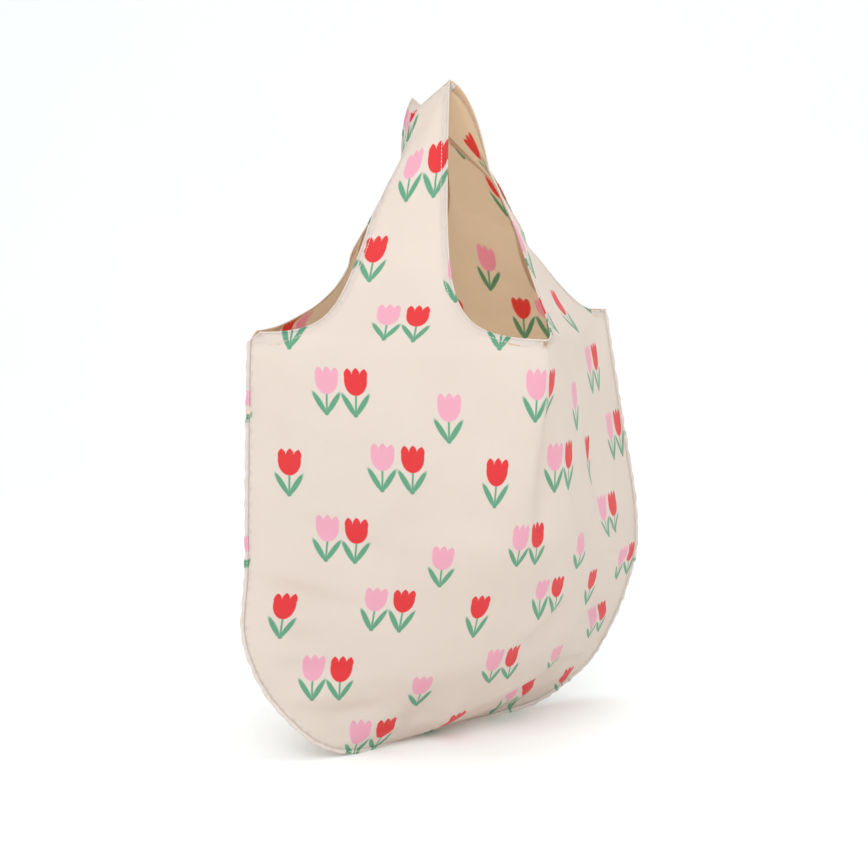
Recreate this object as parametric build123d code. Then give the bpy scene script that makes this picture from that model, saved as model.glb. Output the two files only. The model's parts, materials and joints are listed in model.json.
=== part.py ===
from build123d import *
import math
import os

# A foldable shopping tote held open by its two handle loops, in millimetres.
# +Z is up, X runs from side seam to side seam and -Y is the front.
# The origin is on the floor of the hanging bag, under its centre.

# ---- the flat cut of one panel: u across from the middle, v up from the base ----
HALF_WIDTH = 250.0
BODY_HEIGHT = 420.0
STRAP_RISE = 240.0
CORNER_RADIUS = 170.0
STRAP_TOP_INNER = 112.0
STRAP_TOP_OUTER = 158.0
SCOOP_CURVE = ((250.0, 420.0), (165.0, 420.0), (182.0, 490.0), (158.0, 660.0))
NECK_CURVE = ((0.0, 420.0), (90.0, 420.0), (95.0, 490.0), (112.0, 660.0))

# ---- the bag as it hangs ----
CLOTH = 0.6
SEAM_GAP = 1.3
RING_HEIGHT = 360.0
RING_HALF = 177.0
RING_SOFTNESS = 0.04
BELLY_HALF_WIDTH = 198.0
BELLY_HALF_DEPTH = 115.0
BELLY_TOP = 180.0
BASE_ROUNDING = 200.0
BASE_LIFT = 10.0
SEAM_WIDTH = 6.0
SEAM_THICKNESS = 1.0

# ---- straps and loops ----
ROOT_END = 470.0
STRAP_START = 489.0
STRAP_END = 654.5
ROOT_CELLS = 7
STRAP_CELLS = 14
LOOP_LEAN = 2.2
LOOP_SWEEP = 76.5
FRONT_APEX = ((-7.4, -36.0, 564.0), (-25.8, -4.5, 536.0))
BACK_APEX = ((-2.0, 36.0, 551.0), (16.4, 4.5, 523.0))
JOIN_HALF_LENGTH = 3.6
JOIN_THICKNESS = 1.4

# ---- the stow pocket ----
TAPE = (-171.0, -122.5, 286.0, 298.0)
POCKET_LEFT = -122.0
POCKET_WIDTH = 105.0
POCKET_TOP = 302.0
POCKET_HEIGHT = 112.0
POCKET_MOUTH = 14.0
POCKET_CORNER = 8.0
POCKET_GAP = 1.2
POCKET_SEAM_WIDTH = 4.0
FLAP_TOP = 300.0
FLAP_HEIGHT = 46.0
FLAP_CORNER = 20.0
FLAP_OUTSIDE = -5.4
SNAP_X = -69.5
SNAP_Z = 266.0
SNAP_RADIUS = 5.5
SNAP_BALL_RADIUS = 1.6
SNAP_HOLE_RADIUS = 2.1


def smooth(low, high, value):
    t = min(max((value - low) / (high - low), 0.0), 1.0)
    return t * t * (3.0 - 2.0 * t)


def bezier(curve, t):
    a, b, c, d = curve
    k = 1.0 - t
    weights = (k * k * k, 3 * k * k * t, 3 * k * t * t, t * t * t)
    return tuple(sum(w * p[i] for w, p in zip(weights, (a, b, c, d))) for i in (0, 1))


def curve_at_height(curve, v):
    """Distance from the middle at which a strap edge crosses height v."""
    low, high = 0.0, 1.0
    for _ in range(50):
        middle = (low + high) / 2
        if bezier(curve, middle)[1] < v:
            low = middle
        else:
            high = middle
    return bezier(curve, (low + high) / 2)[0]


def half_width(v):
    if v >= CORNER_RADIUS:
        return HALF_WIDTH
    drop = CORNER_RADIUS - max(v, 0.0)
    return HALF_WIDTH - CORNER_RADIUS + math.sqrt(CORNER_RADIUS**2 - drop**2)


def ring_point(s, side):
    """The opening seen from above: a soft-cornered square standing on one corner."""
    across = RING_HALF * s
    depth = RING_HALF * (1.0 + RING_SOFTNESS - math.sqrt(s * s + RING_SOFTNESS**2)) / (1.0 + RING_SOFTNESS)
    depth = max(depth, 0.0)
    return across, side * (SEAM_GAP + depth)


def body_point(u, v, side):
    """Hanging position of a point of the panel below the opening."""
    width = half_width(v)
    s = max(-1.0, min(1.0, u / width))
    up = smooth(BELLY_TOP, BODY_HEIGHT, v)
    ring_x, ring_y = ring_point(s, side)
    reach = BELLY_HALF_WIDTH * math.sin(math.pi / 2 * width / HALF_WIDTH)
    rise = min(v / BASE_ROUNDING, 1.0)
    profile = math.sqrt(max(1.0 - (1.0 - rise) ** 2, 0.0))
    belly_x = reach * math.sin(math.pi / 2 * s)
    belly_y = side * (SEAM_GAP + BELLY_HALF_DEPTH * profile * math.cos(math.pi / 2 * s))
    lift = BASE_LIFT * (1.0 - smooth(0.0, 120.0, v)) * (1.0 - s * s)
    return (
        ring_x * up + belly_x * (1.0 - up),
        ring_y * up + belly_y * (1.0 - up),
        RING_HEIGHT * v / BODY_HEIGHT + lift,
    )


def cloth_point(u, v, side):
    """Hanging position of any point of the cut: body below the opening, straps above it."""
    if v <= BODY_HEIGHT:
        return body_point(u, v, side)
    base = body_point(u, BODY_HEIGHT, side)
    inner, outer = FRONT_APEX if side < 0 else BACK_APEX
    t = (v - BODY_HEIGHT) / STRAP_RISE
    across = (abs(u) - STRAP_TOP_INNER) / (STRAP_TOP_OUTER - STRAP_TOP_INNER)
    across = min(max(across, -1.0), 2.0)
    apex = [i + (o - i) * across for i, o in zip(inner, outer)]
    lean = t**LOOP_LEAN
    climb = math.sin(math.radians(LOOP_SWEEP * t)) / math.sin(math.radians(LOOP_SWEEP))
    return (
        base[0] * (1.0 - lean) + apex[0] * lean,
        base[1] * (1.0 - lean) + apex[1] * lean,
        RING_HEIGHT + (apex[2] - RING_HEIGHT) * climb,
    )


def minus(a, b):
    return [p - q for p, q in zip(a, b)]


def cross(a, b):
    return [a[1] * b[2] - a[2] * b[1], a[2] * b[0] - a[0] * b[2], a[0] * b[1] - a[1] * b[0]]


def point_normals(points, triangles):
    """Area-weighted unit normal of each point."""
    totals = [[0.0, 0.0, 0.0] for _ in points]
    for a, b, c in triangles:
        n = cross(minus(points[b], points[a]), minus(points[c], points[a]))
        for i in (a, b, c):
            totals[i] = [p + q for p, q in zip(totals[i], n)]
    return [[x / math.hypot(*n) for x in n] for n in totals]


def rim_edges(triangles):
    """Directed edges that belong to one triangle only."""
    edges = {(t[i], t[(i + 1) % 3]) for t in triangles for i in range(3)}
    return [e for e in sorted(edges) if (e[1], e[0]) not in edges]


def thick_sheet(points, triangles, thickness=CLOTH):
    """A faceted sheet made solid: an outer skin, an inner skin and a rim between them."""
    normals = point_normals(points, triangles)
    inner = [[p - thickness * n for p, n in zip(point, normal)] for point, normal in zip(points, normals)]
    corners = [Vector(*p) for p in list(points) + inner]
    shift = len(points)
    faces = list(triangles) + [(c + shift, b + shift, a + shift) for a, b, c in triangles]
    for a, b in rim_edges(triangles):
        faces.append((b, a, a + shift))
        faces.append((b, a + shift, b + shift))
    skins = [Face(Wire.make_polygon([corners[i] for i in f], close=True)) for f in faces]
    return Solid(Shell(skins))


def grid_triangles(index, side):
    """Two triangles for each cell of a grid of point numbers, facing out of the bag."""
    triangles = []
    for low, high in zip(index, index[1:]):
        for i in range(len(low) - 1):
            a, b, c, d = low[i], low[i + 1], high[i + 1], high[i]
            pair = [(a, b, c), (a, c, d)] if (i + low[0]) % 2 else [(a, b, d), (b, c, d)]
            triangles += pair if side < 0 else [t[::-1] for t in pair]
    return triangles


def strap_widths(v, hand, cells):
    """Points across a strap or its root at height v, from left to right."""
    inner = curve_at_height(NECK_CURVE, v)
    outer = curve_at_height(SCOOP_CURVE, v)
    across = [hand * (inner + (outer - inner) * i / cells) for i in range(cells + 1)]
    return sorted(across)


def panel(side):
    """One panel: the body up to the opening, and the two strap roots above it."""
    turns = [CORNER_RADIUS * (1.0 - math.cos(math.radians(a))) for a in range(0, 90, 15)]
    heights = turns + [170.0, 210.0, 250.0, 290.0, 330.0, 375.0, BODY_HEIGHT]
    cells = 2 * ROOT_CELLS
    flat = []
    index = []
    for v in heights:
        index.append([len(flat) + i for i in range(cells + 1)])
        flat += [((2.0 * i / cells - 1.0) * half_width(v), v) for i in range(cells + 1)]
    triangles = grid_triangles(index, side)
    for hand, first in ((-1.0, index[-1][: ROOT_CELLS + 1]), (1.0, index[-1][ROOT_CELLS:])):
        root = [first]
        for v in (424.0, 432.0, 444.0, 458.0, ROOT_END):
            root.append([len(flat) + i for i in range(ROOT_CELLS + 1)])
            flat += [(u, v) for u in strap_widths(v, hand, ROOT_CELLS)]
        triangles += grid_triangles(root, side)
    return thick_sheet([cloth_point(u, v, side) for u, v in flat], triangles)


def strap(side, hand):
    """One strap, from just above its root to just short of the join at the top."""
    flat = []
    index = []
    for i in range(STRAP_CELLS + 1):
        v = STRAP_START + (STRAP_END - STRAP_START) * i / STRAP_CELLS
        index.append([len(flat) + j for j in range(4)])
        flat += [(u, v) for u in strap_widths(v, hand, 3)]
    return thick_sheet([cloth_point(u, v, side) for u, v in flat], grid_triangles(index, side))


def handle_join(side):
    """The sewn ridge where the two straps of a loop meet, lying along the width of the strap."""
    inner, outer = (Vector(*p) for p in (FRONT_APEX if side < 0 else BACK_APEX))
    width = outer - inner
    along = Vector(1, 0, 0)
    normal = along.cross(width).normalized()
    length = (along - width.normalized() * along.dot(width.normalized())).normalized()
    corner = inner - length * JOIN_HALF_LENGTH - normal * (JOIN_THICKNESS / 2)
    corners = [
        corner,
        corner + width,
        corner + width + length * (2 * JOIN_HALF_LENGTH),
        corner + length * (2 * JOIN_HALF_LENGTH),
    ]
    block = Solid.extrude(Face(Wire.make_polygon(corners)), normal * JOIN_THICKNESS)
    long_edges = block.edges().filter_by(lambda e: abs(e.length - width.length) < 0.01)
    return block.fillet(JOIN_THICKNESS * 0.45, long_edges)


def side_and_base_seam():
    """The closed seam down both sides and round the base, standing inside the cloth."""
    turns = [CORNER_RADIUS * (1.0 - math.cos(math.radians(a))) for a in range(90, -1, -15)]
    heights = [BODY_HEIGHT - 3.0, 375.0, 330.0, 290.0, 250.0, 210.0] + turns
    right = [cloth_point(half_width(v), v, 1.0) for v in heights]
    right += [cloth_point(half_width(0.0) * s, 0.0, 1.0) for s in (2 / 3, 1 / 3, 0.0)]
    outline = [(p[0], p[2]) for p in right] + [(-p[0], p[2]) for p in reversed(right[:-1])]
    inside = []
    for i, (x, z) in enumerate(outline):
        before = outline[max(i - 1, 0)]
        after = outline[min(i + 1, len(outline) - 1)]
        run_x, run_z = after[0] - before[0], after[1] - before[1]
        reach = SEAM_WIDTH / math.hypot(run_x, run_z)
        inside.append((x + run_z * reach, z - run_x * reach))
    corners = [Vector(x, -SEAM_THICKNESS / 2, z) for x, z in outline + inside[::-1]]
    return Solid.extrude(Face(Wire.make_polygon(corners, close=True)), Vector(0, SEAM_THICKNESS, 0))


def upright_plate(x0, x1, z0, z1, y0, y1, corner=0.0):
    """A flat plate standing in the X-Z plane between y0 and y1."""
    plate = Solid.make_box(x1 - x0, y1 - y0, z1 - z0).moved(Location((x0, y0, z0)))
    if corner > 0:
        low = plate.edges().filter_by(Axis.Y).sort_by(Axis.Z)[:2]
        plate = plate.fillet(corner, low)
    return plate


def disc(x, z, radius, y0, y1):
    """A disc facing the front, between y0 and y1."""
    plane = Plane(origin=(x, y0, z), z_dir=(0, 1, 0))
    return Solid.make_cylinder(radius, y1 - y0, plane)


def pouch_tape():
    left, right, low, high = TAPE
    return upright_plate(left, right, low, high, -0.5, 0.5)


def pouch_sheet(y0, y1, top):
    low = POCKET_TOP - POCKET_HEIGHT
    return upright_plate(POCKET_LEFT, POCKET_LEFT + POCKET_WIDTH, low, top, y0, y1, POCKET_CORNER)


def pouch_seam():
    """Sewn edge between the two pocket sheets, open at the top."""
    low = POCKET_TOP - POCKET_HEIGHT
    half = POCKET_GAP - 0.3
    top = POCKET_TOP - POCKET_MOUTH - 1.0
    outer = upright_plate(POCKET_LEFT, POCKET_LEFT + POCKET_WIDTH, low, top, -half, half, POCKET_CORNER)
    hollow = upright_plate(
        POCKET_LEFT + POCKET_SEAM_WIDTH,
        POCKET_LEFT + POCKET_WIDTH - POCKET_SEAM_WIDTH,
        low + POCKET_SEAM_WIDTH,
        top + 10.0,
        -half - 1.0,
        half + 1.0,
        POCKET_CORNER - POCKET_SEAM_WIDTH,
    )
    return outer - hollow


def pouch_flap():
    inside = FLAP_OUTSIDE + CLOTH
    low = FLAP_TOP - FLAP_HEIGHT
    right = POCKET_LEFT + POCKET_WIDTH
    return upright_plate(POCKET_LEFT + 2.0, right - 2.0, low, FLAP_TOP, FLAP_OUTSIDE, inside, FLAP_CORNER)


def snap_post():
    """Backing washer of the stud, inside the pocket."""
    return disc(SNAP_X, SNAP_Z, SNAP_RADIUS, -0.9, -0.4)


def snap_stud():
    """Flange and ball that the socket clips over."""
    front = -(POCKET_GAP + CLOTH) - 0.2
    flange = disc(SNAP_X, SNAP_Z, SNAP_RADIUS, front - 0.8, front)
    ball = disc(SNAP_X, SNAP_Z, SNAP_BALL_RADIUS, front - 2.2, front - 0.8)
    stud = flange + ball
    tip = stud.edges().filter_by(GeomType.CIRCLE).sort_by(Axis.Y)[0]
    return stud.fillet(0.6, [tip])


def snap_socket():
    """Ring on the inside of the flap that takes the ball."""
    inside = FLAP_OUTSIDE + CLOTH
    ring = disc(SNAP_X, SNAP_Z, SNAP_RADIUS, inside + 0.2, inside + 1.6)
    hole = disc(SNAP_X, SNAP_Z, SNAP_HOLE_RADIUS, inside - 1.0, inside + 3.0)
    return ring - hole


def snap_cap():
    """Domed cap on the outside of the flap."""
    back = FLAP_OUTSIDE - 0.2
    cap = disc(SNAP_X, SNAP_Z, SNAP_RADIUS + 0.5, back - 1.2, back)
    rim = cap.edges().filter_by(GeomType.CIRCLE).sort_by(Axis.Y)[0]
    return cap.fillet(0.9, [rim])


PIECES = {
    "front_panel": lambda: panel(-1.0),
    "back_panel": lambda: panel(1.0),
    "side_and_base_seam": side_and_base_seam,
    "pouch_tape": pouch_tape,
    "front_left_strap": lambda: strap(-1.0, -1.0),
    "front_right_strap": lambda: strap(-1.0, 1.0),
    "front_handle_join": lambda: handle_join(-1.0),
    "back_left_strap": lambda: strap(1.0, -1.0),
    "back_right_strap": lambda: strap(1.0, 1.0),
    "back_handle_join": lambda: handle_join(1.0),
    "pouch_back": lambda: pouch_sheet(POCKET_GAP, POCKET_GAP + CLOTH, POCKET_TOP),
    "pouch_front": lambda: pouch_sheet(-POCKET_GAP - CLOTH, -POCKET_GAP, POCKET_TOP - POCKET_MOUTH),
    "pouch_seam": pouch_seam,
    "snap_stud": snap_stud,
    "snap_post": snap_post,
    "pouch_flap": pouch_flap,
    "snap_socket": snap_socket,
    "snap_cap": snap_cap,
}


def main():
    os.makedirs("parts", exist_ok=True)
    for name, make in PIECES.items():
        export_step(make(), f"parts/{name}.step")


main()
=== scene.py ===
"""Foldable tote bag of thin printed polyester: cloth, hems, thread, stow pocket, floor, light and camera."""

import json
import math

import bpy
import numpy as np
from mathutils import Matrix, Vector
from mathutils.geometry import delaunay_2d_cdt

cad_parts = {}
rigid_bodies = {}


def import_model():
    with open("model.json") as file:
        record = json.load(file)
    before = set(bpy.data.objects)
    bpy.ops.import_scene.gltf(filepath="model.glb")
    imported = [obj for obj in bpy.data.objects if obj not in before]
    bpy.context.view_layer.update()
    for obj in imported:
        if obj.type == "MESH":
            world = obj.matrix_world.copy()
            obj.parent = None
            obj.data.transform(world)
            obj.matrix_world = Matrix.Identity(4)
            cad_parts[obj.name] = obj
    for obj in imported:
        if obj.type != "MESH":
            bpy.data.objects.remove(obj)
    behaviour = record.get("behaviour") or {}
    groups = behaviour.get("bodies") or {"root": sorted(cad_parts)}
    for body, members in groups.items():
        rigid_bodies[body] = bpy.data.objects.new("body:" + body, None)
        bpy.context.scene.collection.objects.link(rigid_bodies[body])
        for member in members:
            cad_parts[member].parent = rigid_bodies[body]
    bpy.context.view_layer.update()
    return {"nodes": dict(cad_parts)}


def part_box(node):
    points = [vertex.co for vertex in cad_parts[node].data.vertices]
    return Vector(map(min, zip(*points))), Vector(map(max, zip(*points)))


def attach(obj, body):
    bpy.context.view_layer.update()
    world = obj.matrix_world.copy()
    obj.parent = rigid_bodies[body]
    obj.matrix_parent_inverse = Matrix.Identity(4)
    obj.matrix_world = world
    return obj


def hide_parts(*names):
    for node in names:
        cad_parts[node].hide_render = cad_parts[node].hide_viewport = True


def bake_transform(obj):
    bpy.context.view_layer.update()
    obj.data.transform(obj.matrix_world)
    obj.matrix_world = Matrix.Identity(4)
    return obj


for leftover in list(bpy.data.objects):
    bpy.data.objects.remove(leftover)

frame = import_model()

# The flat cut of one panel, in metres: u runs across it, v up it, the middle of the base is (0, 0).
HALF_WIDTH = 0.250
BODY_HEIGHT = 0.420
STRAP_RISE = 0.240
CUT_TOP = BODY_HEIGHT + STRAP_RISE
CORNER = 0.170
STRAP_INNER = 0.112
STRAP_OUTER = 0.158
SCOOP_CURVE = ((HALF_WIDTH, BODY_HEIGHT), (0.165, BODY_HEIGHT), (0.182, 0.49), (STRAP_OUTER, CUT_TOP))
NECK_CURVE = ((0, BODY_HEIGHT), (0.09, BODY_HEIGHT), (0.095, 0.49), (STRAP_INNER, CUT_TOP))
MESH_STEP = 0.008
CLOTH = 0.0003
HEM = 0.0068

# The opening is a ring of four corners: left seam, front middle, right seam, back middle.
RING_HEIGHT = 0.360
RING_HALF = 0.177
FRONT_CORNER = (0.0, -0.177)
BACK_CORNER = (0.025, 0.148)

# The sewn tops of the loops: the neck end of each join, and the step from there to its outer end.
FRONT_JOIN = np.array((-0.0100, -0.042, 0.565))
BACK_JOIN = np.array((0.010, 0.054, 0.548))
FRONT_JOIN_STEP = np.array((-0.0184, 0.0315, -0.028))
BACK_JOIN_STEP = np.array((0.0184, -0.0315, -0.028))

# How each strap leaves the body and reaches its join, as steps from its foot and back from its head, and its
# twist: pairs of height and share of the full turn.
STRAPS = {
    (-1, -1): dict(leave=(-0.014, 0.007, 0.050), arrive=(0.014, 0.003, 0.060), turn=((0, 0), (0.3, 0), (0.65, 0.35), (1, 1))),
    (-1, 1): dict(leave=(-0.040, 0.022, 0.058), arrive=(-0.048, -0.008, 0.020), turn=((0, 0), (0.3, 0.1), (0.57, 0.19), (1, 1))),
    (1, -1): dict(leave=(0.030, -0.010, 0.055), arrive=(0.030, -0.006, 0.048), turn=((0, 0), (0.15, 0.2), (0.7, 0.25), (1, 1))),
    (1, 1): dict(leave=(0.003, 0.000, 0.068), arrive=(-0.045, 0.000, 0.022), turn=((0, 0), (0.15, 0.45), (1, 1))),
}
HELD_STRAP = 0.150

# Where the sewn edge hangs: distance along it from the left corner of the opening, and the place there.
SEAM_STATIONS = (
    (0.000, -0.177, 0.000, 0.353), (0.125, -0.180, 0.000, 0.245), (0.235, -0.182, -0.001, 0.148),
    (0.285, -0.194, -0.010, 0.108), (0.345, -0.181, -0.026, 0.060), (0.410, -0.139, -0.038, 0.012),
    (0.455, -0.104, -0.040, 0.001), (0.587, 0.016, 0.000, 0.001), (0.634, 0.061, 0.006, 0.001),
    (0.700, 0.127, 0.022, 0.003), (0.785, 0.186, 0.028, 0.032), (0.860, 0.206, 0.015, 0.080),
    (0.944, 0.213, -0.003, 0.136), (1.009, 0.206, -0.010, 0.185), (1.100, 0.192, -0.003, 0.272),
    (1.194, 0.177, 0.000, 0.360),
)
# The middle line of each panel, from the base to the opening: height on the cut, place, and how round it is.
MIDDLE_STATIONS = {
    -1: (
        (0.000, 0.026, 0.001, 0.001, 0.60), (0.025, 0.034, -0.035, 0.022, 0.60), (0.095, 0.017, -0.080, 0.070, 0.55),
        (0.165, 0.012, -0.112, 0.134, 0.45), (0.235, 0.000, -0.150, 0.187, 0.28), (0.375, 0.000, -0.173, 0.316, 0.05),
        (0.420, 0.000, -0.177, 0.360, 0.00),
    ),
    1: (
        (0.000, 0.026, 0.001, 0.001, 0.60), (0.025, 0.026, 0.035, 0.022, 0.60), (0.095, 0.018, 0.085, 0.070, 0.55),
        (0.165, 0.018, 0.112, 0.134, 0.45), (0.235, 0.020, 0.132, 0.187, 0.30), (0.375, 0.024, 0.146, 0.316, 0.05),
        (0.420, 0.025, 0.148, 0.360, 0.00),
    ),
}
AIR_PRESSURE = 0.5
DRAPE_FRAMES = 40

FRONT, BACK = -1, 1
# Soft folds of each panel on its cut: from, to, width and height (negative folds inward), in metres.
CREASES = {
    FRONT: (
        ((0.022, 0.385), (0.018, 0.235), 0.016, -0.0060), ((-0.004, 0.420), (-0.004, 0.300), 0.012, 0.0030),
        ((0.105, 0.150), (0.020, 0.100), 0.010, -0.0040), ((0.085, 0.165), (0.000, 0.118), 0.012, 0.0025),
        ((-0.020, 0.020), (0.080, 0.040), 0.009, -0.0045), ((-0.030, 0.036), (0.060, 0.062), 0.012, 0.0025),
        ((-0.245, 0.190), (-0.165, 0.165), 0.008, -0.0040), ((-0.245, 0.172), (-0.180, 0.145), 0.007, 0.0030),
        ((-0.240, 0.140), (-0.180, 0.128), 0.006, -0.0025), ((-0.232, 0.105), (-0.160, 0.100), 0.007, -0.0025),
        ((-0.215, 0.072), (-0.150, 0.080), 0.007, 0.0025), ((-0.190, 0.045), (-0.130, 0.060), 0.007, -0.0030),
        ((-0.150, 0.022), (-0.105, 0.055), 0.008, 0.0025), ((-0.100, 0.012), (-0.070, 0.070), 0.010, -0.0040),
        ((-0.060, 0.010), (-0.035, 0.065), 0.010, 0.0030), ((-0.120, 0.300), (-0.020, 0.235), 0.014, -0.0022),
        ((-0.210, 0.245), (-0.120, 0.215), 0.012, -0.0020), ((-0.190, 0.340), (-0.060, 0.345), 0.014, 0.0018),
        ((0.130, 0.330), (0.170, 0.230), 0.014, -0.0030), ((0.150, 0.215), (0.235, 0.175), 0.010, 0.0030),
        ((0.140, 0.120), (0.220, 0.110), 0.009, -0.0035), ((0.110, 0.070), (0.190, 0.050), 0.009, 0.0030),
        ((0.060, 0.260), (0.110, 0.190), 0.012, 0.0020), ((0.070, 0.012), (0.110, 0.065), 0.009, -0.0030),
    ),
    BACK: (
        ((0.004, 0.400), (0.010, 0.250), 0.016, -0.0045), ((-0.110, 0.160), (-0.020, 0.110), 0.011, -0.0035),
        ((-0.240, 0.190), (-0.150, 0.170), 0.009, -0.0035), ((-0.230, 0.110), (-0.150, 0.100), 0.008, 0.0030),
        ((-0.190, 0.050), (-0.120, 0.070), 0.008, -0.0030), ((-0.070, 0.010), (-0.050, 0.080), 0.010, 0.0030),
        ((0.030, 0.012), (0.060, 0.080), 0.010, -0.0035), ((0.230, 0.150), (0.140, 0.130), 0.009, -0.0035),
        ((0.215, 0.085), (0.140, 0.095), 0.008, 0.0030), ((0.160, 0.030), (0.120, 0.075), 0.008, -0.0030),
        ((0.060, 0.300), (0.150, 0.230), 0.014, -0.0025), ((-0.160, 0.320), (-0.060, 0.260), 0.014, 0.0022),
        ((0.110, 0.200), (0.030, 0.160), 0.012, 0.0025), ((-0.060, 0.220), (0.020, 0.190), 0.012, -0.0020),
    ),
}
HANDLE_BODY = {FRONT: "front_handle", BACK: "back_handle"}


def unit(vector):
    vector = np.array(vector, float)
    return vector / np.linalg.norm(vector)


def units(vectors):
    return vectors / np.maximum(np.linalg.norm(vectors, axis=-1, keepdims=True), 1e-12)


def ease(values):
    values = np.clip(values, 0, 1)
    return values * values * (3 - 2 * values)


def bezier(corners, t):
    a, b, c, d = (np.array(corner, float) for corner in corners)
    t = np.asarray(t, float)[:, None]
    return (1 - t) ** 3 * a + 3 * (1 - t) ** 2 * t * b + 3 * (1 - t) * t * t * c + t ** 3 * d


def resample(path, step):
    """The same path with points about step apart."""
    path = np.asarray(path, float)
    travelled = np.r_[0, np.cumsum(np.linalg.norm(np.diff(path, axis=0), axis=1))]
    count = max(1, round(travelled[-1] / step))
    stations = np.linspace(0, travelled[-1], count + 1)
    return np.column_stack([np.interp(stations, travelled, column) for column in path.T])


def mirrored(path):
    return path[::-1] * np.array((-1, 1))


def seam_half():
    """The sewn edge of the cut's right half: along the base, round the corner and up the side."""
    angle = np.linspace(-math.pi / 2, 0, 60)
    flat = HALF_WIDTH - CORNER
    corner = np.column_stack((flat + CORNER * np.cos(angle), CORNER + CORNER * np.sin(angle)))
    return np.vstack(((0, 0), corner, (HALF_WIDTH, BODY_HEIGHT)))


def scoop_half():
    return bezier(SCOOP_CURVE, np.linspace(0, 1, 200))


def neck_half():
    return bezier(NECK_CURVE, np.linspace(0, 1, 200))


def cut_outline():
    """The closed outline of the cut, anticlockwise from the middle of the base."""
    top = np.array(((STRAP_OUTER, CUT_TOP), (STRAP_INNER, CUT_TOP)))
    right = [seam_half(), scoop_half(), top, neck_half()[::-1]]
    right = np.vstack([resample(part, MESH_STEP)[:-1] for part in right])
    middle = np.array(((0, BODY_HEIGHT),))
    left = right[1:][::-1] * np.array((-1, 1))
    return np.vstack((right, middle, left))


def depth_inside(points, outline):
    """Distance from the outline, positive inside it."""
    start = outline
    along = np.roll(outline, -1, axis=0) - outline
    offset = points[:, None] - start[None]
    t = np.clip((offset * along).sum(-1) / (along * along).sum(-1), 0, 1)
    distance = np.linalg.norm(offset - along * t[..., None], axis=-1).min(1)
    x, y = points[:, :1], points[:, 1:]
    straddles = (start[:, 1] > y) != (start[:, 1] + along[:, 1] > y)
    crossing = along[:, 0] * (y - start[:, 1]) / (along[:, 1] + 1e-15) + start[:, 0]
    inside = (straddles & (x < crossing)).sum(1) % 2 == 1
    return np.where(inside, distance, -distance)


def cut_mesh():
    """Flat vertices and triangles of the cut: its outline filled with an even triangular grid."""
    outline = cut_outline()
    row_step = MESH_STEP * 0.866
    columns = int(HALF_WIDTH / MESH_STEP) + 2
    grid = []
    for row in range(int(CUT_TOP / row_step) + 1):
        shift = 0.5 * MESH_STEP if row % 2 else 0.0
        grid += [(column * MESH_STEP + shift, row * row_step) for column in range(-columns, columns + 1)]
    grid = np.array(grid)
    grid = grid[depth_inside(grid, outline) > 0.6 * MESH_STEP]
    points = [Vector(point) for point in np.vstack((outline, grid))]
    count = len(outline)
    edges = [(index, (index + 1) % count) for index in range(count)]
    result = delaunay_2d_cdt(points, edges, [], 1, 1e-6)
    return np.array([tuple(point) for point in result[0]]), np.array([tuple(face) for face in result[2]])


def on_seam(cut):
    """True for the vertices on the sewn edge."""
    across, up = np.abs(cut[:, 0]), cut[:, 1]
    flat = HALF_WIDTH - CORNER
    base = (up < 1e-5) & (across <= flat + 1e-5)
    side = (np.abs(across - HALF_WIDTH) < 1e-5) & (up >= CORNER - 1e-5) & (up <= BODY_HEIGHT + 1e-5)
    round_corner = np.abs(np.hypot(across - flat, up - CORNER) - CORNER) < 2e-4
    return base | side | (round_corner & (across > flat) & (up < CORNER))


def seam_place(travelled):
    """Points of the hanging sewn edge at distances along it, with the corners between stations eased."""
    stations = np.array(SEAM_STATIONS)
    fine = np.linspace(0, stations[-1, 0], 600)
    points = np.column_stack([np.interp(fine, stations[:, 0], column) for column in stations[:, 1:].T])
    for _ in range(160):
        points[1:-1] = (points[:-2] + 2 * points[1:-1] + points[2:]) / 4
    return np.column_stack([np.interp(travelled, fine, column) for column in points.T])


def seam_travel(cut):
    """Distance along the sewn edge, from the left corner of the opening, of flat points on it."""
    flat, side = HALF_WIDTH - CORNER, BODY_HEIGHT - CORNER
    across, up = np.abs(cut[:, 0]), cut[:, 1]
    angle = np.arctan2(np.maximum(CORNER - up, 0), np.maximum(across - flat, 1e-9))
    from_top = np.where(
        up >= CORNER, BODY_HEIGHT - up,
        np.where(across > flat, side + CORNER * angle, side + CORNER * math.pi / 2 + flat - across)
    )
    half = side + CORNER * math.pi / 2 + flat
    return np.where(cut[:, 0] < 0, from_top, 2 * half - from_top)


def body_start(cut, side):
    """The bag body before it is draped: from the sewn edge on the left, over the middle line, to the right."""
    up = np.minimum(cut[:, 1], BODY_HEIGHT)
    flat = HALF_WIDTH - CORNER
    width = np.where(up < CORNER, flat + np.sqrt(np.maximum(CORNER ** 2 - (CORNER - up) ** 2, 0)), HALF_WIDTH)
    left, right = (seam_place(seam_travel(np.column_stack((hand * width, up)))) for hand in (-1, 1))
    stations = np.array(MIDDLE_STATIONS[side])
    x, y, z, roundness = (np.interp(up, stations[:, 0], column) for column in stations[:, 1:].T)
    middle = np.column_stack((x, y, z))
    across = np.clip(cut[:, 0] / width, -1, 1)
    brow = np.sqrt(1 + roundness ** 2)
    bulge = (brow - np.sqrt(across ** 2 + roundness ** 2)) / (brow - roundness)
    share = ((1 + across) / 2)[:, None]
    return left * (1 - share) + right * share + (middle - (left + right) / 2) * bulge[:, None]


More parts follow.
